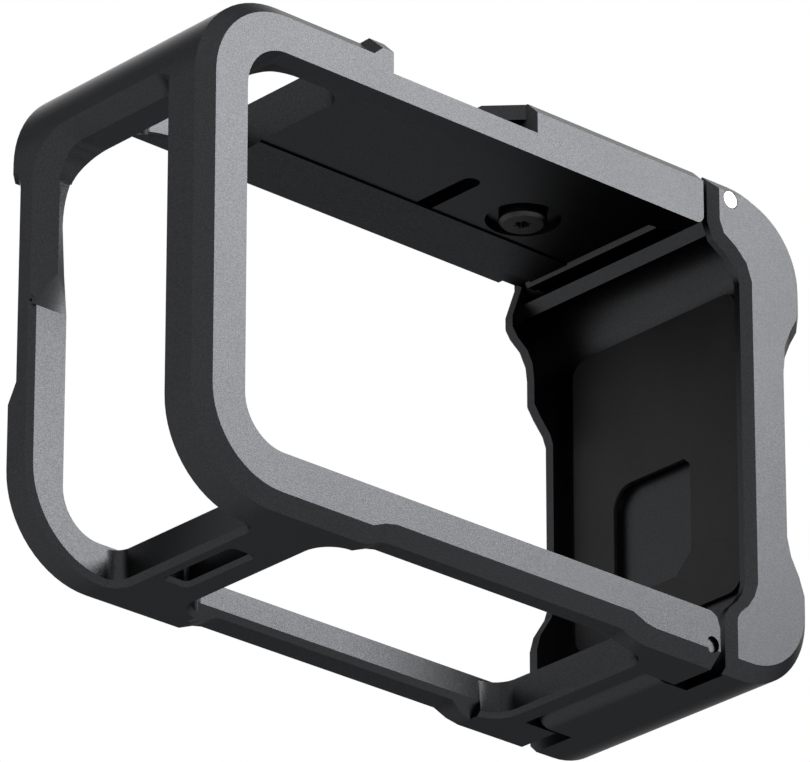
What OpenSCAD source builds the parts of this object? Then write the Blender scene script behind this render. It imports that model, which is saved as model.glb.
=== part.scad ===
/* [Cage] */
// Overall width, from the left wall to the outside of the door
cage_w = 78.4; // [76:0.1:84]
// Overall depth, front face to back face
cage_d = 29.1; // [28:0.1:32]
// Overall height, from the feet to the top of the shoe block
cage_h = 52.45; // [51:0.05:56]
// Radius of the two left corners
corner_r = 9.9; // [8:0.1:11]
// Bevel along the front and back outlines
edge_c = 1.4; // [0.8:0.1:1.8]
// How far the top left part lies below the shoe block
top_drop = 0.95; // [0.6:0.05:1.2]
// Height of the relief between the feet
foot_h = 0.92; // [0.5:0.02:1.2]
// Half length of the relief between the feet
relief_half = 14.8; // [12:0.1:16]

/* [Camera bay] */
// Thickness of the left wall
left_wall = 2.3; // [1.8:0.1:2.8]
// Thickness of the bottom plate
floor_t = 3.6; // [3.2:0.1:4.2]
// Thickness of the top plate
roof_t = 4.75; // [4.6:0.05:5.4]
// Thickness of the front lip
front_lip_t = 2.4; // [1.8:0.1:3]
// Depth of the lower half of the rear lip
rear_lip_t = 4.64; // [4:0.02:5]
// Extra depth of the upper half of the rear lip
rear_lip_step = 1.5; // [0.5:0.1:2]
// Height of the front bottom bar
front_bar_h = 5.35; // [4.8:0.05:6]
// Width of the front left bar
front_post_w = 5.3; // [4.6:0.1:6]
// Drop of the front top lip below the bay ceiling
front_top_lip = 1.39; // [0.8:0.01:1.8]
// Corner radius of the front opening
front_in_r = 4.8; // [3:0.1:6]
// Upper left corner radius of the bay
bay_r = 14; // [10:0.5:14]
// Lower left corner radius of the bay
bay_low_r = 4.5; // [3:0.1:6]
// Width of the lower half of the rear left bar
rear_post_w = 4.2; // [3:0.1:5]
// Height of the slope under the rear top rail
rear_slope = 2.2; // [1:0.1:2.4]

// Depth of the grip hollow in the back of the left bar
grip_d = 1.15; // [0.5:0.05:1.4]

/* [Openings] */
// Width on the left face of the front post beside the end opening
end_post_w = 5.1; // [4.6:0.1:6]
// Distance of the end opening's top edge from the top of the cage
end_open_down = 10.55; // [9.5:0.05:14]
// Wide bevel around the upper half of the end opening
end_bevel = 1.84; // [1.2:0.02:2.2]
// Small bevel around the other openings
rim_c = 0.56; // [0.3:0.02:0.8]
// Inner end of the end opening in the bottom plate, from the left wall
end_open_in = 11; // [10.4:0.1:11.6]
// Left end of the button opening in the top plate, from the left wall
button_in = 9.9; // [9:0.1:11]
// Metal between the button opening and the shoe slot
button_wall = 1.3; // [1:0.1:3]
// Left end of the big bottom opening, from the left wall
floor_open_in = 18.65; // [18.2:0.05:20]
// Width of the bridge between the big bottom opening and the hinge
hinge_bridge = 2.35; // [1.6:0.05:5]
// Width of the strap slot
strap_w = 2.4; // [2.2:0.1:2.6]
// Length of the strap slot
strap_len = 9.1; // [7:0.1:12]
// Distance of the strap slot's middle from the left wall
strap_in = 14.2; // [13.6:0.1:14.8]

/* [Cold shoe] */
// Width of the shoe slot
shoe_w = 18.6; // [18.5:0.05:18.9]
// Height of the shoe slot under its lips
shoe_slot_h = 2.05; // [2:0.05:2.2]
// Width of the opening between the lips
shoe_gap_w = 12.5; // [12.3:0.1:13]
// Middle of the shoe, from the middle of the cage
shoe_x = -6.39; // [-7:0.01:-6]
// Length of the shoe slot from the front face
shoe_len = 18; // [17:0.5:19]
// Thickness of metal left under the shoe slot
shoe_floor = 1.1; // [1:0.05:1.2]

/* [Door] */
// Width of the door at its top
door_top_w = 12.84; // [12:0.02:13.4]
// Gap between the frame's end and the door
end_gap = 1.3; // [1.1:0.1:1.6]
// Distance of the hinge axis from the outside of the door
hinge_in = 13.92; // [13.6:0.02:14.2]
// Height of the hinge axis
hinge_z = 1.93; // [1.8:0.01:2.2]
// Diameter of the hinge pin
hinge_pin_d = 1.6; // [1.4:0.1:1.6]
// How far the ends of the hinge pin lie below the faces
hinge_pin_sink = 0.4; // [0:0.1:0.5]
// Depth of the front hinge lug
lug_depth = 6.35; // [5:0.05:7]
// Depth of the rear hinge lug
rear_lug_depth = 6.15; // [5:0.05:7]
// Gap between the hinge barrel and each lug
barrel_gap = 0.3; // [0.1:0.05:0.6]
// Thickness of the door's front and rear walls
door_lip_t = 1.6; // [1.5:0.1:2]
// Thickness of the door's panel at its edges
panel_t = 6.6; // [6:0.1:7]
// Radius of the door's rounded top
door_round = 9.4; // [9:0.05:9.8]
// Thickness of the pad inside the door
pad_t = 0.5; // [0.3:0.1:0.8]
// Width of the pad, front to back
pad_w = 23.5; // [20:0.5:24]
// Height of the pad's lower edge
pad_low = 10.6; // [9.5:0.1:12]
// Depth of the pad's upper edge below the top of the cage
pad_down = 9.85; // [9.7:0.05:12]
// Corner radius of the pad
pad_r = 2; // [1:0.1:3]
// Width of the pocket in the pad, front to back
pocket_w = 10.8; // [9:0.1:12]
// Height of the pocket in the pad
pocket_h = 12.1; // [9:0.1:13]
// Height of the pocket's lower edge above the pad's
pocket_up = 4.2; // [2:0.1:8]
// Distance of the pocket's front edge from the middle plane
pocket_y = 4.8; // [3:0.1:6]
// Depth of the pocket below the pad's face
pocket_d = 1; // [0.6:0.1:1.4]

/* [Latch] */
// Distance of the latch axis from the outside of the door
latch_in = 10.43; // [10:0.01:10.8]
// Depth of the latch axis below the top
latch_down = 2.23; // [2.2:0.01:2.4]
// Diameter of the latch pin
latch_pin_d = 1.9; // [1.6:0.1:2]
// Thickness of the lever's shell
lever_t = 2.4; // [2:0.1:2.8]
// Length of the lever, down from the top of the cage
lever_len = 12.45; // [11.5:0.05:14]
// How high the hook stands behind the frame's catch
hook_bite = 0.6; // [0.4:0.05:0.65]
// Wire of the latch spring
spring_wire = 0.35; // [0.3:0.05:0.4]
// Turns of the latch spring
spring_turns = 5; // [3:1:8]

/* [Shoe spring] */
// Width of the leaf, front to back
leaf_w = 7; // [5:0.1:7.4]
// Thickness of the leaf
leaf_t = 0.4; // [0.3:0.05:0.6]
// Side of the square threaded plate that holds the leaf
nut_w = 7; // [6:0.1:7.4]
// Thickness of the threaded plate
nut_t = 1.5; // [1.2:0.1:1.7]
// Distance of the screw from the middle of the cage
screw_x = 13.46; // [13:0.02:14]
// Distance of the screw behind the middle plane
screw_y = -1.1; // [-2:0.1:0]
// Diameter of the recess round the screw head
screw_recess_d = 7.5; // [6.5:0.1:8]
// Diameter of the screw head
screw_head_d = 4.8; // [4.4:0.1:5]
// Diameter of the screw's thread
screw_d = 2.5; // [2:0.1:3]

/* [Hidden] */
$fn = 96;
// Overlap that keeps cuts clean
e = 0.01;
// Reach of cutters past the body
far = 60;
// Radial play of a running fit
play = 0.05;
// Gap beside moving faces
side_gap = 0.12;

left_x = -cage_w / 2;
right_x = cage_w / 2;
front_y = -cage_d / 2;
back_y = cage_d / 2;
low_top = cage_h - top_drop;
frame_end = right_x - door_top_w - end_gap;
corner_x = left_x + corner_r;
bay_left = left_x + left_wall;
bay_front = front_y + front_lip_t;
bay_back = back_y - rear_lip_t;
bay_back_up = bay_back - rear_lip_step;
ceiling = cage_h - roof_t;

// Heights between which the rear lip and the end opening step back
step_low = 25.9;
step_high = 29;

// Left and right ends of the openings
button_x0 = left_x + button_in;
button_x1 = shoe_x - shoe_w / 2 - button_wall;
floor_x0 = left_x + floor_open_in;
floor_x1 = right_x - hinge_in - hinge_z - 1.15 - hinge_bridge;
end_open_top = cage_h - end_open_down;

// Latch axis and hinge axis
latch_x = right_x - latch_in;
latch_z = cage_h - latch_down;
hinge_x = right_x - hinge_in;
lug_x = hinge_x + hinge_pin_d / 2 + 0.18;
rear_lug_x = hinge_x + hinge_pin_d / 2 + 0.1;
barrel_r = hinge_z;
barrel_y0 = front_y + lug_depth + barrel_gap;
barrel_y1 = back_y - rear_lug_depth - barrel_gap;

// Latch mouth in the plate's end
mouth_y0 = -8.9;
mouth_y1 = 10.95;
mouth_x = frame_end - 2.16;
lip_x = frame_end - 1.66;
lip_top = ceiling + 0.6;
mouth_top = cage_h - 1.6;
catch_x = frame_end - 0.61;
catch_z = latch_z - 0.27;
catch_gap = 0.1;

// Door casting
door_left = right_x - door_top_w;
panel_x = right_x - panel_t;
face_low = ceiling - 1.26;
core_top = cage_h - 4.42;
// How far the lower edge of the door's closing face stands back
face_lean = 0.75;
// Bevel on the door's edge that leaves room for the hook when the lever is pulled
hook_clear = 0.4;
waist_in = 2.2;
top_cx = right_x - door_round;
top_cz = cage_h - 0.05 - door_round;
core_r = core_top - top_cz;
foot_r = 8.9;
foot_cx = right_x - foot_r;
door_top = top_cz + door_round;
wall_y = front_y + door_lip_t;

// Latch spring
coil_r = latch_pin_d / 2 + 0.1 + spring_wire / 2;
coil_pitch = spring_wire * 0.9;
leg_y = (spring_turns - 1) * coil_pitch / 2;
leg_r = spring_wire / 2 + 0.02;
// How deep the lower leg stands in the door
anchor_h = 1.1;

// Leaf of the shoe
leaf_z = cage_h - nut_t - leaf_t - 0.15;
shoe_right = shoe_x + shoe_w / 2;

function arc(cx, cz, r, a0, a1, n) =
    [for (i = [0 : n]) let (a = a0 + (a1 - a0) * i / n) [cx + r * cos(a), cz + r * sin(a)]];
function oval(cx, cz, rx, rz, a0, a1, n) =
    [for (i = [0 : n]) let (a = a0 + (a1 - a0) * i / n) [cx + rx * cos(a), cz + rz * sin(a)]];
function unit(v) = v / norm(v);
function left_of(v) = [-v[1], v[0]];
function shifted(p, n0, n1, d0, d1) =
    let (det = n0[0] * n1[1] - n0[1] * n1[0])
    abs(det) < 0.02 ? p + n1 * d1
    : p + [(d0 * n1[1] - d1 * n0[1]) / det, (d1 * n0[0] - d0 * n1[0]) / det];
// Outline moved inward, each side by its own distance
function inset(pts, d) =
    let (n = len(pts))
    [for (i = [0 : n - 1])
        let (a = pts[(i + n - 1) % n], b = pts[i], c = pts[(i + 1) % n])
        shifted(b, left_of(unit(b - a)), left_of(unit(c - b)), d[(i + n - 1) % n], d[i])];

// Twice the area of a triangle, positive when its corners turn left
function turn(a, b, c) = (b[0] - a[0]) * (c[1] - a[1]) - (b[1] - a[1]) * (c[0] - a[0]);
function covers(a, b, c, p) =
    p != a && p != b && p != c && turn(a, b, p) >= 0 && turn(b, c, p) >= 0 && turn(c, a, p) >= 0;
// Outline cut into triangles, one corner at a time; each entry of ids is a point of pts
function corner_free(pts, ids, k) =
    let (n = len(ids), a = pts[ids[(k + n - 1) % n]], b = pts[ids[k]], c = pts[ids[(k + 1) % n]])
    turn(a, b, c) > 0.0001 && len([for (i = ids) if (covers(a, b, c, pts[i])) i]) == 0;
function first_free(pts, ids, k) =
    k >= len(ids) ? 0 : corner_free(pts, ids, k) ? k : first_free(pts, ids, k + 1);
function triangles(pts, ids) =
    len(ids) == 3 ? [ids]
    : let (n = len(ids), k = first_free(pts, ids, 0))
      concat([[ids[(k + n - 1) % n], ids[k], ids[(k + 1) % n]]],
             triangles(pts, [for (i = [0 : n - 1]) if (i != k) ids[i]]));

// Solid through outlines of equal length, front to back
module rings(ys, outlines) {
    n = len(outlines[0]);
    m = len(ys);
    pts = [for (k = [0 : m - 1]) for (p = outlines[k]) [p[0], ys[k], p[1]]];
    sides = [for (k = [0 : m - 2]) for (i = [0 : n - 1]) for (s = [0, 1])
        let (a = k * n + i, b = k * n + (i + 1) % n)
        s == 0 ? [a, b, b + n] : [a, b + n, a + n]];
    front = [for (t = triangles(outlines[0], [for (i = [0 : n - 1]) i])) [t[2], t[1], t[0]]];
    back = [for (t = triangles(outlines[m - 1], [for (i = [0 : n - 1]) i]))
        [for (i = t) i + (m - 1) * n]];
    polyhedron(points = pts, faces = concat(front, sides, back));
}

// Outline in X and Z drawn through the depth y0 to y1
module depth(y0, y1) {
    translate([0, y1, 0]) rotate([90, 0, 0]) linear_extrude(height = y1 - y0) children();
}
// Outline in Y and Z drawn along the width x0 to x1
module along(x0, x1) {
    translate([x0, 0, 0]) rotate([90, 0, 90]) linear_extrude(height = x1 - x0) children();
}
module box(x0, x1, y0, y1, z0, z1) {
    translate([x0, y0, z0]) cube([x1 - x0, y1 - y0, z1 - z0]);
}
// Round bar along Y
module bar(x, z, r, y0, y1) {
    translate([x, y0, z]) rotate([-90, 0, 0]) cylinder(h = y1 - y0, r = r);
}
// Rectangle with four rounded corners
module soft_rect(x0, x1, y0, y1, r) {
    translate([x0 + r, y0]) square([x1 - x0 - 2 * r, y1 - y0]);
    translate([x0, y0 + r]) square([x1 - x0, y1 - y0 - 2 * r]);
    for (x = [x0 + r, x1 - r]) for (y = [y0 + r, y1 - r]) translate([x, y]) circle(r = r);
}

function frame_outline() = concat(
    arc(corner_x, corner_r, corner_r, 180, 270, 16),
    [[-relief_half - 3.1, 0], [-relief_half - 1.4, foot_h * 0.75], [-relief_half - 0.3, foot_h],
     [relief_half - 0.25, foot_h], [relief_half + 1.3, foot_h * 0.3], [relief_half + 2.9, 0],
     [lug_x, 0], [lug_x, front_bar_h - 1.5], [lug_x - 0.4, front_bar_h - 0.4],
     [lug_x - 1.2, front_bar_h], [frame_end, front_bar_h + 0.05],
     [frame_end, cage_h], [shoe_x - shoe_w / 2 - 1.9, cage_h],
     [shoe_x - shoe_w / 2 - 3, low_top]],
    arc(corner_x, low_top - corner_r, corner_r, 90, 180, 16));
function frame_bevels() = concat(
    [for (i = [1 : 16]) edge_c],
    [edge_c, edge_c, edge_c, edge_c, edge_c, edge_c, edge_c],
    [0, 0, 0, 0, 0],
    [edge_c, edge_c, edge_c],
    [for (i = [1 : 18]) edge_c]);

module frame_body() {
    full = frame_outline();
    cut = inset(full, frame_bevels());
    rings([front_y, front_y + edge_c, back_y - edge_c, back_y], [cut, full, full, cut]);
}

// Camera room, open to the right
module bay() {
    intersection() {
        along(bay_left, far)
            polygon([[bay_front, floor_t], [bay_back, floor_t], [bay_back, step_low],
                     [bay_back_up, step_high], [bay_back_up, ceiling], [bay_front, ceiling]]);
        depth(-far, far)
            polygon(concat([[far, floor_t], [far, ceiling]],
                arc(bay_left + bay_r, ceiling - bay_r, bay_r, 90, 180, 24),
                arc(bay_left + bay_low_r, floor_t + bay_low_r, bay_low_r, 180, 270, 12)));
    }
}

module front_window() {
    x = left_x + front_post_w;
    top = ceiling - front_top_lip;
    depth(front_y - 1, bay_back_up - 4)
        polygon(concat([[far, front_bar_h], [far, top]],
            arc(x + front_in_r, top - front_in_r, front_in_r, 90, 180, 14),
            arc(x + front_in_r, front_bar_h + front_in_r, front_in_r, 180, 270, 14)));
}

module rear_window() {
    low_x = left_x + rear_post_w;
    low = floor_t + 0.3;
    high = ceiling + 0.35;
    cx = bay_left + bay_r;
    cz = high - bay_r;
    depth(bay_back_up - e, back_y + 1)
        polygon(concat([[far, low], [far, high]], arc(cx, cz, bay_r, 90, 180, 24),
            [[bay_left + 0.3, step_high], [low_x, step_low]],
            arc(low_x + bay_low_r, low + bay_low_r, bay_low_r, 180, 270, 12)));
    // Behind the lip the corner is tighter, and a slope runs on under the rear top rail
    slope_y = bay_back + 0.7;
    back_r = bay_r - 4.5;
    foot_z = cz - 2;
    function window(r, rise) = concat(
        [[bay_left + 0.3, foot_z], [far, foot_z], [far, high + rise]],
        oval(bay_left + r, high - r, r, r + rise, 90, 180, 24));
    rings([bay_back_up + 0.4, slope_y, slope_y + rear_slope, back_y + 1],
          [window(bay_r, 0), window(back_r, 0), window(back_r, rear_slope),
           window(back_r, rear_slope)]);
}

// Opening in the left wall that runs on into the bottom plate
module end_opening() {
    y0 = front_y + end_post_w;
    r = 3.3;
    x1 = left_x + end_open_in;
    intersection() {
        along(-far, x1)
            polygon(concat([[y0, -far], [bay_back, -far], [bay_back, step_low],
                            [bay_back_up, step_high]],
                arc(bay_back_up - r, end_open_top - r, r, 0, 90, 10),
                arc(y0 + r, end_open_top - r, r, 90, 180, 10)));
        translate([0, 0, -far]) linear_extrude(height = 2 * far)
            soft_rect(-far, x1, y0, bay_back, 1.6);
    }
    // Wide bevel round its upper part
    wide = r + end_bevel;
    low_z = step_low - 6;
    cy = bay_back_up - r;
    cz = end_open_top - r;
    inner = concat([[y0, low_z], [cy, low_z], [bay_back_up, step_high]], arc(cy, cz, r, 0, 90, 14),
        arc(y0 + r, cz, r, 90, 180, 14));
    outer = concat([[y0, low_z], [cy, low_z], [bay_back_up + end_bevel, step_high - end_bevel]],
        arc(cy, cz, wide, 0, 90, 14), arc(y0 + r, cz, wide, 90, 90 + asin(r / wide), 14));
    rotate([0, 0, 90])
        rings([-left_x - end_bevel, -left_x, 1 - left_x], [inner, outer, outer]);
    hull() {
        translate([0, 0, -e]) linear_extrude(height = e)
            soft_rect(corner_x - 3, x1 + rim_c, y0, bay_back + rim_c, 2);
        translate([0, 0, rim_c]) linear_extrude(height = e)
            soft_rect(corner_x - 3, x1, y0, bay_back, 1.6);
    }
    // Narrow bevel along the far edge lower down and round the corner
    translate([0, 0, corner_r]) linear_extrude(height = step_low + 0.5 - corner_r)
        polygon([[left_x + rim_c, bay_back], [left_x - 1, bay_back], [left_x - 1, bay_back + rim_c + 1]]);
    intersection() {
        box(left_x - 1, corner_x, bay_back - 1, back_y, -1, corner_r);
        translate([corner_x, bay_back, corner_r]) rotate([-90, 0, 0]) rotate_extrude()
            polygon([[corner_r - rim_c, 0], [corner_r + 1, 0], [corner_r + 1, rim_c + 1]]);
    }
}

// Shutter opening in the top plate
module button_opening() {
    translate([0, 0, ceiling - 8]) linear_extrude(height = 20)
        soft_rect(button_x0, button_x1, front_y + end_post_w, bay_back_up, 3);
}

module floor_opening() {
    y0 = front_y + 3.3;
    c = 0.45;
    translate([0, 0, -1]) linear_extrude(height = floor_t + 2)
        soft_rect(floor_x0, floor_x1, y0, bay_back, 2.6);
    hull() {
        translate([0, 0, -e]) linear_extrude(height = e)
            soft_rect(floor_x0 - c, floor_x1 + c, y0, bay_back + c, 3);
        translate([0, 0, c]) linear_extrude(height = e)
            soft_rect(floor_x0, floor_x1, y0, bay_back, 2.6);
    }
    // Slope along the rear edge
    slope = 1.48;
    along(floor_x0 + 2.2, floor_x1 - 2.2)
        polygon([[bay_back - 1, -e], [bay_back + slope, -e], [bay_back, slope], [bay_back - 1, slope]]);
}

module strap_slot() {
    x0 = left_x + strap_in - strap_w / 2;
    x1 = x0 + strap_w;
    y0 = 0.6 - strap_len / 2;
    y1 = y0 + strap_len;
    c = 0.4;
    translate([0, 0, -1]) linear_extrude(height = floor_t + 2) soft_rect(x0, x1, y0, y1, 0.5);
    hull() {
        translate([0, 0, -e]) linear_extrude(height = e) soft_rect(x0 - c, x1 + c, y0 - c, y1 + c, 0.7);
        translate([0, 0, c]) linear_extrude(height = e) soft_rect(x0, x1, y0, y1, 0.5);
    }
}

module cold_shoe() {
    floor_z = ceiling + shoe_floor;
    x0 = shoe_x - shoe_w / 2;
    x1 = shoe_x + shoe_w / 2;
    lip = (shoe_w - shoe_gap_w) / 2;
    stop_y = front_y + shoe_len;
    box(x0, x1, front_y - 1, stop_y, floor_z, floor_z + shoe_slot_h);
    mouth = front_y + 1.6;
    translate([0, 0, floor_z + 0.5]) linear_extrude(height = 6)
        polygon([[x0, front_y - 1], [x1, front_y - 1], [x1, mouth], [x1 - lip, mouth + lip],
                 [x1 - lip, stop_y], [x0 + lip, stop_y], [x0 + lip, mouth + lip], [x0, mouth]]);
}

// Seat of the leaf and its threaded plate in the top, screw hole and tongue slot
module leaf_seat() {
    slot_x = shoe_right + 0.2;
    seat_y = leaf_w / 2 + 0.3;
    box(slot_x, screw_x + nut_w / 2 + 0.1, screw_y - seat_y, screw_y + seat_y, leaf_z, cage_h + 1);
    slot_y0 = -4.6;
    slot_y1 = 3.15;
    box(slot_x, slot_x + 2, slot_y0 + 1, slot_y1, ceiling - 1, cage_h + 1);
    box(slot_x - 1, slot_x + 1, slot_y0 + 1, slot_y1, ceiling + shoe_floor,
        ceiling + shoe_floor + shoe_slot_h);
    translate([slot_x + 1, slot_y0 + 1, ceiling - 1]) cylinder(h = cage_h, r = 1);
    translate([screw_x, screw_y, ceiling - 1]) cylinder(h = 6, r = screw_d / 2 + 0.15);
    translate([screw_x, screw_y, ceiling - 1]) cylinder(h = 2, r = screw_recess_d / 2);
}

// Room for the hook behind the catch at the plate's end
module latch_mouth() {
    box(mouth_x, catch_x, mouth_y0, mouth_y1, lip_top, mouth_top);
    box(lip_x, far, mouth_y0, mouth_y1, ceiling - 1, catch_z);
    depth(mouth_y0, mouth_y1)
        polygon([[frame_end - 0.3, catch_z - e], [far, catch_z - e], [far, catch_z + 0.3],
                 [frame_end, catch_z + 0.3]]);
}

module frame_right_end() {
    // Rear rail and rear lug end a little short of the front ones
    box(frame_end - 0.35, far, bay_back_up - e, back_y + 1, floor_t, cage_h + 1);
    box(rear_lug_x, far, bay_back_up - e, back_y + 1, -1, cage_h + 1);
    // Room for the hinge barrel
    box(hinge_x - barrel_r - 1.15, far, front_y + lug_depth, back_y - rear_lug_depth, -1, floor_t + 2);
    bar(hinge_x, hinge_z, hinge_pin_d / 2, front_y - 1, back_y + 1);
    // Rounded lower corner of the top bar
    r = 1;
    z = ceiling - front_top_lip;
    depth(front_y - 1, bay_front + e) difference() {
        translate([frame_end - r, z - r]) square([2 * r, 2 * r]);
        translate([frame_end - r, z + r]) circle(r = r);
    }
}

// Hollow down the back of the left bar, deepest at its middle
module grip_hollow() {
    hull() for (p = [[16.5, 0], [18.5, grip_d], [39, grip_d], [40.5, grip_d / 2]]) {
        c = edge_c + p[1];
        translate([0, 0, p[0]]) linear_extrude(height = e)
            polygon([[left_x - 1, back_y - c - 1], [left_x - 1, back_y + 1], [left_x + c + 1, back_y + 1]]);
    }
}

module main_frame() {
    color("#55565a") difference() {
        frame_body();
        bay();
        front_window();
        rear_window();
        end_opening();
        button_opening();
        floor_opening();
        strap_slot();
        cold_shoe();
        leaf_seat();
        latch_mouth();
        frame_right_end();
        // Shallow step in the underside of the top plate
        box(button_x1, far, mouth_y0 + 0.1, 3.15, ceiling - e, ceiling + 0.2);
        grip_hollow();
    }
}

// Points given by their distance from the door's outside, and from the bottom or the top
function low_pts(pts) = [for (p = pts) [right_x - p[0], p[1]]];
function high_pts(pts) = [for (p = pts) [right_x - p[0], cage_h - p[1]]];

function door_foot() = concat(
    arc(foot_cx, foot_r, foot_r, 270, 360, 16),
    low_pts([[0, 10.7], [0.8, 12.9], [1.8, 14.7], [waist_in, 16.3]]));
function door_outer() = concat(door_foot(),
    high_pts([[waist_in, 18.05], [waist_in - 0.2, 16.25], [1.25, 14.55], [0.3, 12.95], [0, 11.15]]),
    arc(top_cx, top_cz, door_round, 0, 90, 16));
function door_front_inner() = concat(
    high_pts([[door_top_w, cage_h - door_top], [door_top_w, 5.05], [12.1, 6.75], [10.3, 7.85],
              [9.15, 8.95], [8.58, 10.45]]),
    low_pts([[8.58, 10.1], [9, 8.9], [9.7, 7.9], [10.8, 6.9], [11.35, 6], [11.45, 5.2], [11.45, 0]]));
function door_rear_inner() = concat(
    high_pts([[door_top_w, cage_h - door_top], [door_top_w, 2.85], [14.1, 6.25], [14.1, 7.45],
              [13.4, 8.45], [12.1, 9.45], [11.4, 10.75], [11.2, 12.35], [11.2, 15.05],
              [10.3, 16.35], [9.1, 17.75], [8.7, 18.75]]),
    low_pts([[8.7, 16], [9.1, 14.8], [10.6, 12.5], [11.1, 10.8], [11.1, 0]]));

module door_wall(inner, inner_c) {
    full = concat(door_outer(), inner);
    n_out = len(door_outer());
    n_in = len(inner);
    function bevels(a, b) = concat([for (i = [1 : n_out]) a], [for (i = [1 : n_in - 1]) b], [a]);
    face = inset(full, bevels(edge_c, inner_c));
    mid = inset(full, bevels(edge_c - inner_c, 0));
    rings([front_y, front_y + inner_c, front_y + edge_c, wall_y], [face, mid, full, full]);
}

// Door between its walls
module door_core() {
    // Hollow between the face that closes against the frame's end and the panel
    hollow_z = ceiling - 5.55;
    hollow_x = door_left + face_lean;
    depth(wall_y - e, -wall_y + e)
        polygon(concat(
            low_pts([[11.1, 0]]), door_foot(), high_pts([[waist_in, 18.85]]),
            [[top_cx + core_r, cage_h - 17.05]], arc(top_cx, top_cz, core_r, 0, 90, 12),
            [[door_left + hook_clear, core_top], [door_left, core_top - hook_clear]],
            oval(hollow_x, hollow_z, panel_x - hollow_x, face_low - hollow_z, 90, 0, 28),
            arc(panel_x - 6.5, 10.1, 6.5, 0, -72, 10)));
}

module door_hinge() {
    bar(hinge_x, hinge_z, barrel_r, barrel_y0, barrel_y1);
    depth(barrel_y0, barrel_y1)
        polygon(concat([[hinge_x, 0]], low_pts([[8.2, 0], [8.2, 5], [11.1, 4.2]]),
                       [[hinge_x, 2 * barrel_r]]));
}

module pad_shape(grow) {
    depth_of = pad_t + grow;
    translate([panel_x - pad_t, 0, 0]) rotate([90, 0, 90]) linear_extrude(height = depth_of)
        soft_rect(-pad_w / 2, pad_w / 2, pad_low, cage_h - pad_down, pad_r);
}
module pad_pocket(d) {
    z0 = pad_low + pocket_up;
    y0 = -pocket_y;
    r = 2.4;
    translate([panel_x - pad_t - e, 0, 0]) rotate([90, 0, 90]) linear_extrude(height = d + e)
        polygon(concat([[y0 + 2.2, z0], [y0 + pocket_w - 0.8, z0], [y0 + pocket_w, z0 + 0.8]],
            arc(y0 + pocket_w - r, z0 + pocket_h - r, r, 0, 90, 10),
            [[y0 + 0.8, z0 + pocket_h], [y0, z0 + pocket_h - 0.8], [y0, z0 + 2.2]]));
}

module side_door() {
    color("#4b4c50") difference() {
        union() {
            door_wall(door_front_inner(), 0.88);
            mirror([0, 1, 0]) door_wall(door_rear_inner(), 0.55);
            door_core();
            door_hinge();
        }
        bar(hinge_x, hinge_z, hinge_pin_d / 2 + play, barrel_y0 - 1, barrel_y1 + 1);
        bar(latch_x, latch_z, latch_pin_d / 2, front_y - 1, back_y + 1);
        pad_shape(0);
        pad_pocket(pocket_d);
        // Anchor of the latch spring
        translate([latch_x + coil_r, 0, core_top - anchor_h - side_gap])
            cylinder(h = 2 * anchor_h, r = leg_r + 0.02, $fn = 32);
    }
}

module door_pad() {
    color("#1d1d1f") difference() {
        pad_shape(0);
        pad_pocket(2 * pad_t);
    }
}

module hinge_pin() {
    color("#c9cacc") bar(hinge_x, hinge_z, hinge_pin_d / 2, front_y + hinge_pin_sink,
                         back_y - hinge_pin_sink);
}

module latch_pin() {
    color("#d8d9db") bar(latch_x, latch_z, latch_pin_d / 2, front_y, back_y);
}

// Latch spring round its pin
module latch_spring() {
    color("#9a9b9e") {
        translate([latch_x, -leg_y, latch_z]) rotate([-90, 0, 0]) rotate_extrude($fn = 48)
            for (i = [0 : spring_turns - 1])
                translate([coil_r, i * coil_pitch]) circle(r = spring_wire / 2, $fn = 24);
        translate([latch_x + coil_r, 0, core_top - anchor_h])
            cylinder(h = latch_z - core_top + anchor_h, r = leg_r, $fn = 32);
        translate([latch_x, leg_y, latch_z + coil_r]) rotate([0, 90, 0])
            cylinder(h = 4, r = leg_r, $fn = 32);
    }
}

module latch_lever() {
    y0 = wall_y + side_gap;
    y1 = -y0;
    in_r = door_round - lever_t;
    lever_low = cage_h - lever_len;
    boss_r = door_top - latch_z - 0.02;
    hook_y0 = mouth_y0 + 0.4;
    hook_y1 = mouth_y1 - 0.4;
    hook_x = catch_x - catch_gap;
    hook_top = catch_z + hook_bite;
    arm_top = catch_z - 0.15;
    arm_low = core_top + 0.72;
    color("#3f4043") difference() {
        union() {
            depth(y0, y1)
                polygon(concat(
                    arc(top_cx, top_cz, door_round, 90, 0, 24),
                    [[right_x, lever_low + 1.4], [right_x - 0.7, lever_low + 0.3], [right_x - 1.1, lever_low],
                     [right_x - 1.9, lever_low], [top_cx + in_r, lever_low + 1.6]],
                    arc(top_cx, top_cz, in_r, 0, 80, 20),
                    [[latch_x + 0.5, latch_z - 1], [latch_x, door_top]]));
            bar(latch_x, latch_z, boss_r, y0, y1);
            depth(hook_y0, hook_y1)
                polygon([[latch_x, latch_z - 1.6], [latch_x - 2.4, arm_low - 0.2],
                         [door_left - 0.5, arm_low - 0.45], [frame_end - 0.1, arm_low - 0.45],
                         [frame_end - 0.5, arm_low], [mouth_x + 0.6, arm_low],
                         [mouth_x + 0.6, arm_top], [hook_x - 0.4, hook_top], [hook_x, hook_top],
                         [hook_x, arm_top], [frame_end + 0.3, arm_top], [latch_x, latch_z + 1]]);
        }
        bar(latch_x, latch_z, latch_pin_d / 2 + play, y0 - 1, y1 + 1);
        // Room for the spring and its legs
        room = leg_y + spring_wire / 2 + 0.15;
        bar(latch_x, latch_z, coil_r + spring_wire / 2 + 0.15, -room, room);
        box(latch_x + coil_r - 0.6, latch_x + coil_r + 0.6, -0.45, 0.45, core_top - 1, latch_z);
        translate([latch_x, leg_y, latch_z + coil_r]) rotate([0, 90, 0])
            cylinder(h = 4.1, r = leg_r + 0.02, $fn = 32);
    }
}

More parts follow.
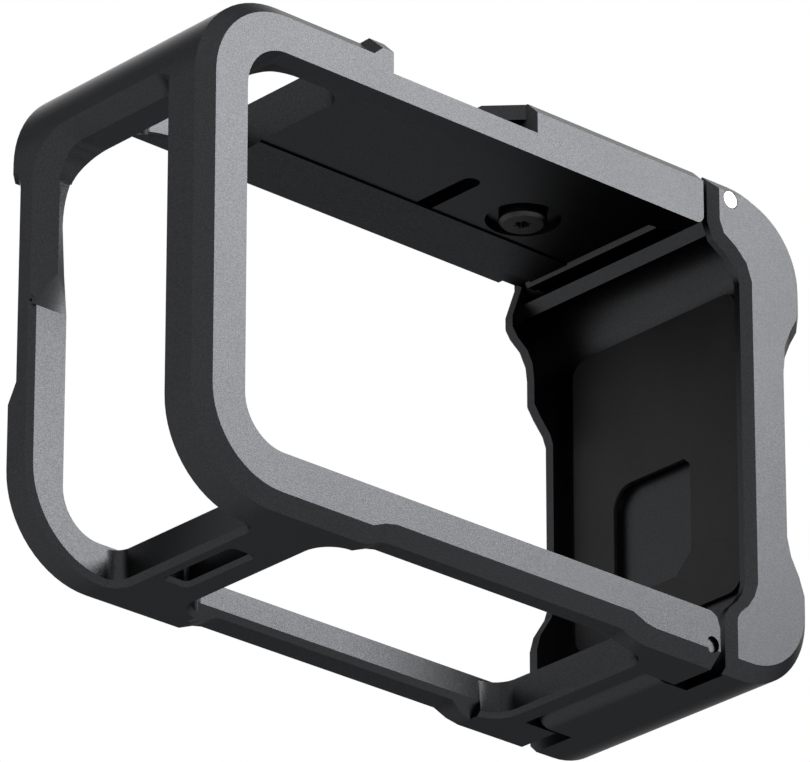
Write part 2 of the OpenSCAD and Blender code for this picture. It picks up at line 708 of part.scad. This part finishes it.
// Leaf that presses on a shoe foot, with the tongue that keeps it from turning
module shoe_spring() {
    z = leaf_z;
    x0 = shoe_right + 0.4;
    // The tongue stands a little way into the shoe slot
    tongue_x = shoe_right - 0.1;
    tongue_w = 4.4;
    color("#8e8f92") difference() {
        union() {
            box(x0, screw_x + nut_w / 2, screw_y - leaf_w / 2, screw_y + leaf_w / 2, z, z + leaf_t);
            box(tongue_x, x0 + 0.2, screw_y - tongue_w / 2, screw_y + tongue_w / 2, z, z + leaf_t);
            box(tongue_x, tongue_x + leaf_t, screw_y - tongue_w / 2, screw_y + tongue_w / 2,
                ceiling + shoe_floor + 0.15, z + e);
        }
        translate([screw_x, screw_y, z - 1]) cylinder(h = 3, r = screw_d / 2 + 0.1);
    }
}

module nut_plate() {
    z = leaf_z + leaf_t;
    color("#6b6c70") difference() {
        box(screw_x - nut_w / 2, screw_x + nut_w / 2, screw_y - nut_w / 2, screw_y + nut_w / 2,
            z, z + nut_t);
        translate([screw_x, screw_y, z - 1]) cylinder(h = 4, r = screw_d / 2);
    }
}

module top_screw() {
    head_z = ceiling + 1;
    head_h = 1.4;
    color("#303134") translate([screw_x, screw_y, 0]) difference() {
        union() {
            translate([0, 0, head_z - head_h]) cylinder(h = head_h, r = screw_head_d / 2);
            translate([0, 0, head_z - e]) cylinder(h = cage_h - 0.3 - head_z, r = screw_d / 2);
        }
        // Star socket
        translate([0, 0, head_z - head_h - 1]) linear_extrude(height = 1.9) union() {
            circle(r = 0.62);
            for (a = [0 : 60 : 300]) rotate(a) translate([0.62, 0]) circle(r = 0.26, $fn = 24);
        }
        // Rounded edge of the head
        translate([0, 0, head_z - head_h]) rotate_extrude() polygon(
            [[screw_head_d / 2 - 0.35, -e], [screw_head_d / 2 + 1, -e], [screw_head_d / 2 + 1, 0.35],
             [screw_head_d / 2, 0.35]]);
    }
}

main_frame();
side_door();
door_pad();
hinge_pin();
latch_lever();
latch_pin();
latch_spring();
shoe_spring();
nut_plate();
top_screw();
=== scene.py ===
from math import cos, radians, sin

import bpy
from bpy.props import FloatProperty, FloatVectorProperty, PointerProperty
from mathutils import Matrix, Vector


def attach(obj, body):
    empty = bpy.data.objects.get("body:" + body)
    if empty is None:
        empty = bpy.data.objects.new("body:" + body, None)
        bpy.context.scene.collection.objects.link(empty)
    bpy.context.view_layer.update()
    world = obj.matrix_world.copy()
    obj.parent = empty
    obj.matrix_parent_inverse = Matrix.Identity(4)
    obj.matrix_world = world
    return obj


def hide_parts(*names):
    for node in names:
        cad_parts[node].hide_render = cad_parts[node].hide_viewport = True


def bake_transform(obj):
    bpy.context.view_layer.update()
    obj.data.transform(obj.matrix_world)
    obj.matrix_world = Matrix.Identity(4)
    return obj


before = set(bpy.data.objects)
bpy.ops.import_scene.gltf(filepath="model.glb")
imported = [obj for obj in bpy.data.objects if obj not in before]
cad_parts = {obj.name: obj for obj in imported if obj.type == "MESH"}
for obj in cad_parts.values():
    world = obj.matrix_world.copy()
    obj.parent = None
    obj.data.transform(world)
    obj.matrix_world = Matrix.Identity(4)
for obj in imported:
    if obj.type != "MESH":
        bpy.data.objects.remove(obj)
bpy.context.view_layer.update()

bl_info = {
    "name": "Action camera cage",
    "version": (1, 0, 0),
    "blender": (4, 5, 0),
    "location": "3D View > Sidebar > Cage",
    "description": "Dresses the cage, its side door, latch and small parts, and lights them",
    "category": "Object",
}


def edge_size(name, default):
    """A rounding along the edges of a piece."""
    return FloatProperty(name=name, description=name + " of the machined edges, rounded over",
                         default=default, min=0.0, max=0.0005, unit="LENGTH", precision=5)


def surface_colour(name, default):
    """The colour of one finish."""
    return FloatVectorProperty(name=name, description="Colour of the " + name.lower(),
                               default=default, size=3, min=0.0, max=1.0, subtype="COLOR")


class CageSizes(bpy.types.PropertyGroup):
    """Rounding and grain of the pieces."""
    frame_edge: edge_size("Frame edge", 0.00013)
    door_edge: edge_size("Door edge", 0.00013)
    lever_edge: edge_size("Lever edge", 0.00012)
    pad_edge: edge_size("Pad edge", 0.00008)
    pin_edge: edge_size("Pin edge", 0.00012)
    screw_edge: edge_size("Screw edge", 0.00005)
    spring_edge: edge_size("Spring edge", 0.00003)
    grain: FloatProperty(name="Blast grain",
                         description="Width of one dimple left by bead blasting",
                         default=0.00012, min=0.00002, max=0.001, unit="LENGTH", precision=5)


class CageColours(bpy.types.PropertyGroup):
    """Colours of the finishes and of the stage."""
    anodised: surface_colour("Anodised metal", (0.0375, 0.0383, 0.0402))
    rubber: surface_colour("Rubber pad", (0.010, 0.010, 0.011))
    steel: surface_colour("Polished steel", (0.36, 0.36, 0.37))
    # Painted shade: the hinge pin's steel is ten times darker than the latch pin's, so it shows
    # mid-grey under the key lamp
    hinge_steel_painted_shade: surface_colour("Hinge steel with painted shade", (0.035, 0.035, 0.036))
    spring_steel: surface_colour("Spring steel", (0.42, 0.42, 0.43))
    dark_steel: surface_colour("Blackened steel", (0.045, 0.045, 0.047))
    floor: surface_colour("Floor", (0.82, 0.82, 0.82))


def sizes():
    return bpy.context.scene.cage_sizes


def colours():
    return bpy.context.scene.cage_colours


# Materials

# How much of bare metal's shine at a low angle a dark skin keeps
SKIN_GLANCE = 0.4
# Width of the faint clouds in each finish, and of the pad's moulded skin
METAL_CLOUD = 0.012
PAD_CLOUD = 0.006
PAD_SKIN = 0.00022
FLOOR_CLOUD = 0.08


def new_material(name, colour, metallic, roughness, specular=0.5):
    """A material whose shader holds the plain values, and its two ends."""
    mat = bpy.data.materials.new(name)
    mat.use_nodes = True
    tree = mat.node_tree
    shader = tree.nodes["Principled BSDF"]
    shader.inputs["Base Color"].default_value = (*colour, 1)
    shader.inputs["Metallic"].default_value = metallic
    shader.inputs["Roughness"].default_value = roughness
    shader.inputs["Specular IOR Level"].default_value = specular
    place = tree.nodes.new("ShaderNodeTexCoord")
    return mat, tree, shader, place.outputs["Object"]


def noise(tree, place, width, detail=2.0, rough=0.5):
    """Noise whose cells are about the given width across."""
    node = tree.nodes.new("ShaderNodeTexNoise")
    node.inputs["Scale"].default_value = 1.0 / width
    node.inputs["Detail"].default_value = detail
    node.inputs["Roughness"].default_value = rough
    tree.links.new(place, node.inputs["Vector"])
    return node.outputs["Fac"]


def spread(tree, value, low_to, high_to, low=0.3, high=0.7):
    """The value mapped to another range, from the one that most noise fills."""
    node = tree.nodes.new("ShaderNodeMapRange")
    for socket, number in zip(("From Min", "From Max", "To Min", "To Max"),
                              (low, high, low_to, high_to)):
        node.inputs[socket].default_value = number
    tree.links.new(value, node.inputs["Value"])
    return node.outputs["Result"]


def tint(tree, value, dark, light):
    """A colour between two by the value."""
    node = tree.nodes.new("ShaderNodeMix")
    node.data_type = "RGBA"
    node.inputs["A"].default_value = (*dark, 1)
    node.inputs["B"].default_value = (*light, 1)
    tree.links.new(value, node.inputs["Factor"])
    return node.outputs["Result"]


def bump(tree, shader, height, strength, distance):
    """Small relief from a height."""
    node = tree.nodes.new("ShaderNodeBump")
    node.inputs["Strength"].default_value = strength
    node.inputs["Distance"].default_value = distance
    tree.links.new(height, node.inputs["Height"])
    tree.links.new(node.outputs["Normal"], shader.inputs["Normal"])


def shade_of(colour, factor):
    return tuple(min(1.0, c * factor) for c in colour)


def anodised_metal(name, colour, roughness):
    """Bead-blasted aluminium under a dark anodised skin: fine sparkle, faint clouds."""
    grain = sizes().grain
    mat, tree, shader, place = new_material(name, colour, 1.0, roughness)
    # An anodised skin mirrors less at a low angle than bare metal
    shader.inputs["Specular Tint"].default_value = (SKIN_GLANCE, SKIN_GLANCE, SKIN_GLANCE, 1)
    fine = noise(tree, place, grain, 1.0, 0.6)
    cloud = noise(tree, place, METAL_CLOUD)
    tone = spread(tree, fine, 0.0, 1.0)
    tree.links.new(tint(tree, tone, shade_of(colour, 0.80), shade_of(colour, 1.24)),
                   shader.inputs["Base Color"])
    tree.links.new(spread(tree, cloud, roughness - 0.006, roughness + 0.008),
                   shader.inputs["Roughness"])
    bump(tree, shader, fine, 0.6, grain * 0.1)
    return mat


def turned_steel(name, colour, roughness, width, low_angle=0.9):
    """Turned or drawn steel with faint marks."""
    mat, tree, shader, place = new_material(name, colour, 1.0, roughness)
    shader.inputs["Specular Tint"].default_value = (low_angle, low_angle, low_angle, 1)
    marks = noise(tree, place, width, 4.0, 0.6)
    tree.links.new(tint(tree, spread(tree, marks, 0.0, 1.0),
                        shade_of(colour, 0.9), shade_of(colour, 1.08)), shader.inputs["Base Color"])
    tree.links.new(spread(tree, marks, roughness * 0.85, roughness * 1.25),
                   shader.inputs["Roughness"])
    bump(tree, shader, marks, 0.1, width * 0.05)
    return mat


def soft_rubber(name, colour):
    """Moulded silicone with a fine matt skin."""
    mat, tree, shader, place = new_material(name, colour, 0.0, 0.55, 0.22)
    skin = noise(tree, place, PAD_SKIN)
    cloud = noise(tree, place, PAD_CLOUD, 3.0)
    tree.links.new(tint(tree, spread(tree, cloud, 0.0, 1.0),
                        shade_of(colour, 0.85), shade_of(colour, 1.2)), shader.inputs["Base Color"])
    tree.links.new(spread(tree, skin, 0.5, 0.62), shader.inputs["Roughness"])
    bump(tree, shader, skin, 0.25, 0.00002)
    return mat


# Pieces

# Points of a CAD node this close are one point
MERGE = 0.000002
# Faces that meet at less than this, in degrees, are one flat
FLAT_TURN = 0.6
# Edges sharper than this, in degrees, are rounded over
ROUND_TURN = 28
# Edges sharper than this, in degrees, stay crisp in the shading
SMOOTH_TURN = 34


def alone(obj):
    """Selects one object and nothing else."""
    for other in bpy.context.selected_objects:
        other.select_set(False)
    obj.select_set(True)
    bpy.context.view_layer.objects.active = obj


def machined_copy(node, name, edge):
    """A merged copy of a node's solid with its edges rounded over."""
    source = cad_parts[node]
    piece = source.copy()
    piece.data = source.data.copy()
    piece.name = name
    piece.data.name = name
    piece.parent = None
    # The copy carries none of the frame's marks
    for key in list(piece.keys()):
        del piece[key]
    bpy.context.scene.collection.objects.link(piece)
    piece.hide_render = False
    piece.hide_viewport = False
    alone(piece)
    bpy.ops.object.mode_set(mode="EDIT")
    bpy.ops.mesh.select_all(action="SELECT")
    bpy.ops.mesh.remove_doubles(threshold=MERGE)
    bpy.ops.mesh.dissolve_limited(angle_limit=radians(FLAT_TURN))
    bpy.ops.object.mode_set(mode="OBJECT")
    if edge > 0:
        round_over = piece.modifiers.new("Round edges", "BEVEL")
        round_over.width = edge
        round_over.segments = 2
        round_over.limit_method = "ANGLE"
        round_over.angle_limit = radians(ROUND_TURN)
        round_over.use_clamp_overlap = True
        bpy.ops.object.modifier_apply(modifier=round_over.name)
    bpy.ops.object.shade_smooth_by_angle(angle=radians(SMOOTH_TURN))
    flat = piece.modifiers.new("Keep flats flat", "WEIGHTED_NORMAL")
    flat.mode = "FACE_AREA"
    flat.weight = 100
    flat.keep_sharp = True
    bpy.ops.object.modifier_apply(modifier=flat.name)
    return piece


def dress_piece(piece, material, node):
    """Gives a piece its finish and hides the node it replaces."""
    piece.data.materials.clear()
    piece.data.materials.append(material)
    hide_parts(node)


def finish_piece(piece, material, node, body):
    """Dresses a piece that moves with one body."""
    dress_piece(piece, material, node)
    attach(piece, body)


class CAGE_OT_frame(bpy.types.Operator):
    """Dress the frame: rounded machined edges and a dark blasted finish"""
    bl_idname = "cage.frame"
    bl_label = "Frame"

    def execute(self, context):
        piece = machined_copy("main_frame", "cage_frame", sizes().frame_edge)
        finish_piece(piece, anodised_metal("frame_finish", colours().anodised, 0.36),
                     "main_frame", "frame")
        return {"FINISHED"}


class CAGE_OT_door(bpy.types.Operator):
    """Dress the side door"""
    bl_idname = "cage.door"
    bl_label = "Side door"

    def execute(self, context):
        piece = machined_copy("side_door", "cage_door", sizes().door_edge)
        finish_piece(piece, anodised_metal("door_finish", colours().anodised, 0.36),
                     "side_door", "door")
        return {"FINISHED"}


class CAGE_OT_lever(bpy.types.Operator):
    """Dress the latch lever"""
    bl_idname = "cage.lever"
    bl_label = "Latch lever"

    def execute(self, context):
        piece = machined_copy("latch_lever", "cage_lever", sizes().lever_edge)
        finish_piece(piece, anodised_metal("lever_finish", colours().anodised, 0.38),
                     "latch_lever", "lever")
        return {"FINISHED"}


class CAGE_OT_pad(bpy.types.Operator):
    """Dress the pad inside the door"""
    bl_idname = "cage.pad"
    bl_label = "Door pad"

    def execute(self, context):
        piece = machined_copy("door_pad", "cage_pad", sizes().pad_edge)
        finish_piece(piece, soft_rubber("pad_finish", colours().rubber),
                     "door_pad", "door")
        return {"FINISHED"}


class CAGE_OT_pins(bpy.types.Operator):
    """Dress the hinge pin and the latch pin"""
    bl_idname = "cage.pins"
    bl_label = "Pins"

    def execute(self, context):
        # The hinge pin gets the pin steel darkened tenfold, painted shade; the latch pin keeps the
        # polished steel
        for node, body, colour in (("hinge_pin", "frame", colours().hinge_steel_painted_shade),
                                   ("latch_pin", "door", colours().steel)):
            piece = machined_copy(node, "cage_" + node, sizes().pin_edge)
            finish_piece(piece, turned_steel(node + "_finish", colour, 0.32, 0.0004),
                         node, body)
        return {"FINISHED"}


class CAGE_OT_springs(bpy.types.Operator):
    """Dress the latch spring and the shoe's leaf spring"""
    bl_idname = "cage.springs"
    bl_label = "Springs"

    def execute(self, context):
        steel = turned_steel("spring_finish", colours().spring_steel, 0.3, 0.0002)
        leaf = machined_copy("shoe_spring", "cage_shoe_spring", sizes().spring_edge)
        finish_piece(leaf, steel, "shoe_spring", "frame")
        coil = machined_copy("latch_spring", "cage_latch_spring", sizes().spring_edge)
        dress_piece(coil, steel, "latch_spring")
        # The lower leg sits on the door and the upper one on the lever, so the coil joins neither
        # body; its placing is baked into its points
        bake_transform(coil)
        return {"FINISHED"}


class CAGE_OT_screw(bpy.types.Operator):
    """Dress the top screw and its threaded plate"""
    bl_idname = "cage.screw"
    bl_label = "Screw and plate"

    def execute(self, context):
        steel = turned_steel("dark_steel_finish", colours().dark_steel, 0.4, 0.0003,
                             SKIN_GLANCE)
        for node in ("top_screw", "nut_plate"):
            piece = machined_copy(node, "cage_" + node, sizes().screw_edge)
            finish_piece(piece, steel, node, "frame")
        return {"FINISHED"}


# Stage

# The open door hangs 21 mm below the feet, so the floor lies under it
FLOOR_DROP = 0.0215
AIM = Vector((-0.01428, -0.01455, 0.0172))
AZIMUTH = -42.157
ELEVATION = -24.924
DISTANCE = 0.7254376
LENS = 347.05


def ray_is(tree, kinds):
    """1 for the named kinds of ray."""
    path = tree.nodes.new("ShaderNodeLightPath")
    total = path.outputs[kinds[0]]
    for kind in kinds[1:]:
        add = tree.nodes.new("ShaderNodeMath")
        add.operation = "MAXIMUM"
        tree.links.new(total, add.inputs[0])
        tree.links.new(path.outputs[kind], add.inputs[1])
        total = add.outputs[0]
    return total


def floor_material(colour):
    """Pale floor that holds the shadow from above and is clear from below."""
    mat = bpy.data.materials.new("floor_finish")
    mat.use_nodes = True
    tree = mat.node_tree
    shader = tree.nodes["Principled BSDF"]
    shader.inputs["Base Color"].default_value = (*colour, 1)
    shader.inputs["Roughness"].default_value = 0.8
    shader.inputs["Specular IOR Level"].default_value = 0.2
    place = tree.nodes.new("ShaderNodeTexCoord").outputs["Object"]
    cloud = noise(tree, place, FLOOR_CLOUD, 3.0)
    tree.links.new(tint(tree, cloud, shade_of(colour, 0.98), shade_of(colour, 1.02)),
                   shader.inputs["Base Color"])
    glow = tree.nodes.new("ShaderNodeEmission")
    glow.inputs["Color"].default_value = (1, 1, 1, 1)
    clear = tree.nodes.new("ShaderNodeBsdfTransparent")
    seen = tree.nodes.new("ShaderNodeMixShader")
    side = tree.nodes.new("ShaderNodeMixShader")
    geometry = tree.nodes.new("ShaderNodeNewGeometry")
    tree.links.new(ray_is(tree, ("Is Glossy Ray", "Is Transmission Ray")), seen.inputs["Fac"])
    tree.links.new(shader.outputs["BSDF"], seen.inputs[1])
    tree.links.new(glow.outputs["Emission"], seen.inputs[2])
    tree.links.new(geometry.outputs["Backfacing"], side.inputs["Fac"])
    tree.links.new(seen.outputs["Shader"], side.inputs[1])
    tree.links.new(clear.outputs["BSDF"], side.inputs[2])
    tree.links.new(side.outputs["Shader"], tree.nodes["Material Output"].inputs["Surface"])
    return mat


def white_world(ambient):
    """White where it is seen or mirrored, a soft grey light everywhere else."""
    world = bpy.data.worlds.new("studio")
    bpy.context.scene.world = world
    world.use_nodes = True
    tree = world.node_tree
    background = tree.nodes["Background"]
    level = spread(tree, ray_is(tree, ("Is Camera Ray", "Is Glossy Ray", "Is Transmission Ray")),
                   ambient, 1.0, low=0.0, high=1.0)
    tree.links.new(level, background.inputs["Strength"])
    background.inputs["Color"].default_value = (1, 1, 1, 1)


def softbox(name, direction, distance, size, power):
    """A square soft lamp that looks at the cage from the given direction."""
    data = bpy.data.lights.new(name, "AREA")
    data.shape = "SQUARE"
    data.size = size
    data.energy = power
    lamp = bpy.data.objects.new(name, data)
    bpy.context.scene.collection.objects.link(lamp)
    way = Vector(direction).normalized()
    lamp.location = AIM + way * distance
    lamp.rotation_euler = way.to_track_quat("Z", "Y").to_euler()
    return lamp


class CAGE_OT_stage(bpy.types.Operator):
    """Set up the floor, the lamps, the white surroundings and the camera"""
    bl_idname = "cage.stage"
    bl_label = "Stage"

    def execute(self, context):
        bpy.ops.mesh.primitive_plane_add(size=3.0, location=(0, 0, -FLOOR_DROP))
        floor = context.active_object
        floor.name = "stage_floor"
        bpy.ops.object.transform_apply(location=True, rotation=True, scale=True)
        floor.data.materials.append(floor_material(colours().floor))
        white_world(ambient=0.35)
        softbox("key", (0.51, -0.66, 0.58), distance=0.6, size=0.34, power=5.15)
        softbox("edge", (0.42, 0.56, 0.70), distance=1.0, size=0.8, power=4.0)
        camera = bpy.data.objects.new("camera", bpy.data.cameras.new("camera"))
        context.scene.collection.objects.link(camera)
        camera.data.lens = LENS
        camera.data.sensor_width = 36.0
        camera.data.sensor_fit = "HORIZONTAL"
        camera.data.clip_start = 0.01
        turn, tilt = radians(AZIMUTH), radians(ELEVATION)
        right = Vector((cos(turn), sin(turn), 0))
        ahead = Vector((-sin(turn) * cos(tilt), cos(turn) * cos(tilt), -sin(tilt)))
        up = right.cross(ahead)
        pose = Matrix((right, up, -ahead)).transposed().to_4x4()
        pose.translation = AIM - ahead * DISTANCE
        camera.matrix_world = pose
        context.scene.camera = camera
        context.scene.view_settings.view_transform = "Standard"
        return {"FINISHED"}


class CAGE_PT_panel(bpy.types.Panel):
    """The cage's sizes, colours and making steps"""
    bl_label = "Camera cage"
    bl_idname = "CAGE_PT_panel"
    bl_space_type = "VIEW_3D"
    bl_region_type = "UI"
    bl_category = "Cage"

    def draw(self, context):
        layout = self.layout
        for group in (context.scene.cage_sizes, context.scene.cage_colours):
            box = layout.box()
            for name in group.__annotations__:
                box.prop(group, name)
        for step in STEPS:
            layout.operator(step.bl_idname)


STEPS = (CAGE_OT_frame, CAGE_OT_door, CAGE_OT_lever, CAGE_OT_pad, CAGE_OT_pins,
         CAGE_OT_springs, CAGE_OT_screw, CAGE_OT_stage)
CLASSES = (CageSizes, CageColours, *STEPS, CAGE_PT_panel)


def register():
    for cls in CLASSES:
        bpy.utils.register_class(cls)
    bpy.types.Scene.cage_sizes = PointerProperty(type=CageSizes)
    bpy.types.Scene.cage_colours = PointerProperty(type=CageColours)


def unregister():
    del bpy.types.Scene.cage_colours
    del bpy.types.Scene.cage_sizes
    for cls in reversed(CLASSES):
        bpy.utils.unregister_class(cls)


def main():
    register()
    bpy.ops.cage.frame()
    bpy.ops.cage.door()
    bpy.ops.cage.lever()
    bpy.ops.cage.pad()
    bpy.ops.cage.pins()
    bpy.ops.cage.springs()
    bpy.ops.cage.screw()
    bpy.ops.cage.stage()


if __name__ == "__main__":
    main()
